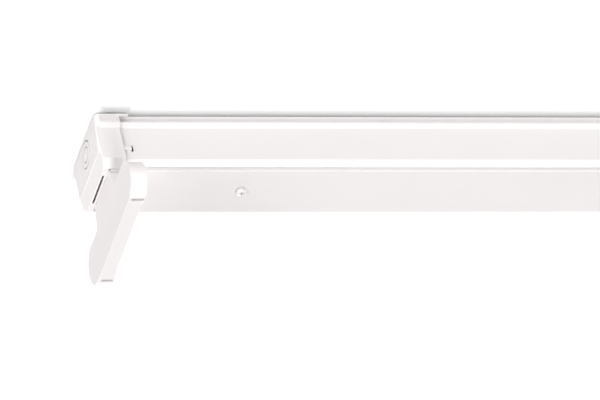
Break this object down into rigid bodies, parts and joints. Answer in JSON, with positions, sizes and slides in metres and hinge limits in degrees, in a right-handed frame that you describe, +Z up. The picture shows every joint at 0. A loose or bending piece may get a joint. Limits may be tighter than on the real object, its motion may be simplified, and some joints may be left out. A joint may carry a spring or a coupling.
{
  "type": "tube light fixture",
  "caption": "Slim white ceiling batten for a pair of fluorescent tubes, with end caps that pull off and a gear tray that drops below the spine.",
  "frame": {"origin": "middle of the ceiling face", "axes": "+X along the batten, away from the end in the picture; +Y across it, away from the camera's side; +Z up into the ceiling"},
  "size_m": [1.243, 0.139, 0.0999],
  "materials": {
    "white_steel": "white powder coat, satin",
    "white_plastic": "white moulded plastic, satin",
    "rotor_plastic": "white moulded plastic",
    "white_screw": "white painted head",
    "zinc_steel": "zinc plated",
    "ballast_paint": "off-white paint",
    "circuit_board": "matt board with its components",
    "cream_plastic": "matt",
    "grey_plastic": "matt",
    "black_rubber": "soft matt",
    "brass_parts": "plain",
    "white_sheath": "smooth wire sheath",
    "blue_sheath": "smooth wire sheath"
  },
  "bodies": {
    "spine": {"spine": "white_steel", "screw_bracket_left": "zinc_steel", "screw_bracket_right": "zinc_steel", "cable_grommet": "black_rubber", "blanking_plug": "grey_plastic", "earth_screw": "brass_parts"},
    "gear_tray": {"gear_tray": "white_steel", "ballast_base": "zinc_steel", "ballast_board": "circuit_board", "ballast_cover": "ballast_paint", "ballast_connector_left": "cream_plastic", "ballast_connector_right": "cream_plastic", "ballast_nuts": "zinc_steel", "terminal_block": "cream_plastic", "terminal_contacts": "brass_parts", "wires_left": "white_sheath", "wires_right": "white_sheath", "wires_mains": "blue_sheath", "wire_clips": "white_plastic", "lampholder_shell_left": "white_plastic", "lampholder_shell_right": "white_plastic", "lampholder_cover_left": "white_plastic", "lampholder_cover_right": "white_plastic", "contact_springs_left": "brass_parts", "contact_springs_right": "brass_parts"},
    "end_cap_left": {"end_cap_left": "white_plastic"},
    "end_cap_right": {"end_cap_right": "white_plastic"},
    "rotor_left_near": {"rotor_left_near": "rotor_plastic"},
    "rotor_left_far": {"rotor_left_far": "rotor_plastic"},
    "rotor_right_near": {"rotor_right_near": "rotor_plastic"},
    "rotor_right_far": {"rotor_right_far": "rotor_plastic"},
    "cover_screw_left": {"cover_screw_left": "white_screw"},
    "cover_screw_right": {"cover_screw_right": "white_screw"}
  },
  "joints": [
    {"name": "tray_drop", "type": "slide", "parent": "spine", "child": "gear_tray", "axis": [0, 0, -1], "range_m": [0, 0.06]},
    {"name": "cap_pull_left", "type": "slide", "parent": "spine", "child": "end_cap_left", "axis": [-1, 0, 0], "range_m": [0, 0.03]},
    {"name": "cap_pull_right", "type": "slide", "parent": "spine", "child": "end_cap_right", "axis": [1, 0, 0], "range_m": [0, 0.03]},
    {"name": "rotor_turn_left_near", "type": "hinge", "parent": "gear_tray", "child": "rotor_left_near", "pos_m": [-0.605, -0.0525, -0.0829], "axis": [1, 0, 0], "range_deg": [-90, 90]},
    {"name": "rotor_turn_left_far", "type": "hinge", "parent": "gear_tray", "child": "rotor_left_far", "pos_m": [-0.605, 0.0525, -0.0829], "axis": [1, 0, 0], "range_deg": [-90, 90]},
    {"name": "rotor_turn_right_near", "type": "hinge", "parent": "gear_tray", "child": "rotor_right_near", "pos_m": [0.605, -0.0525, -0.0829], "axis": [1, 0, 0], "range_deg": [-90, 90]},
    {"name": "rotor_turn_right_far", "type": "hinge", "parent": "gear_tray", "child": "rotor_right_far", "pos_m": [0.605, 0.0525, -0.0829], "axis": [1, 0, 0], "range_deg": [-90, 90]},
    {"name": "screw_turn_left", "type": "hinge", "parent": "gear_tray", "child": "cover_screw_left", "pos_m": [-0.4971, 0, -0.0487], "axis": [0, 0, 1], "continuous": true},
    {"name": "screw_turn_right", "type": "hinge", "parent": "gear_tray", "child": "cover_screw_right", "pos_m": [0.4971, 0, -0.0487], "axis": [0, 0, 1], "continuous": true}
  ]
}
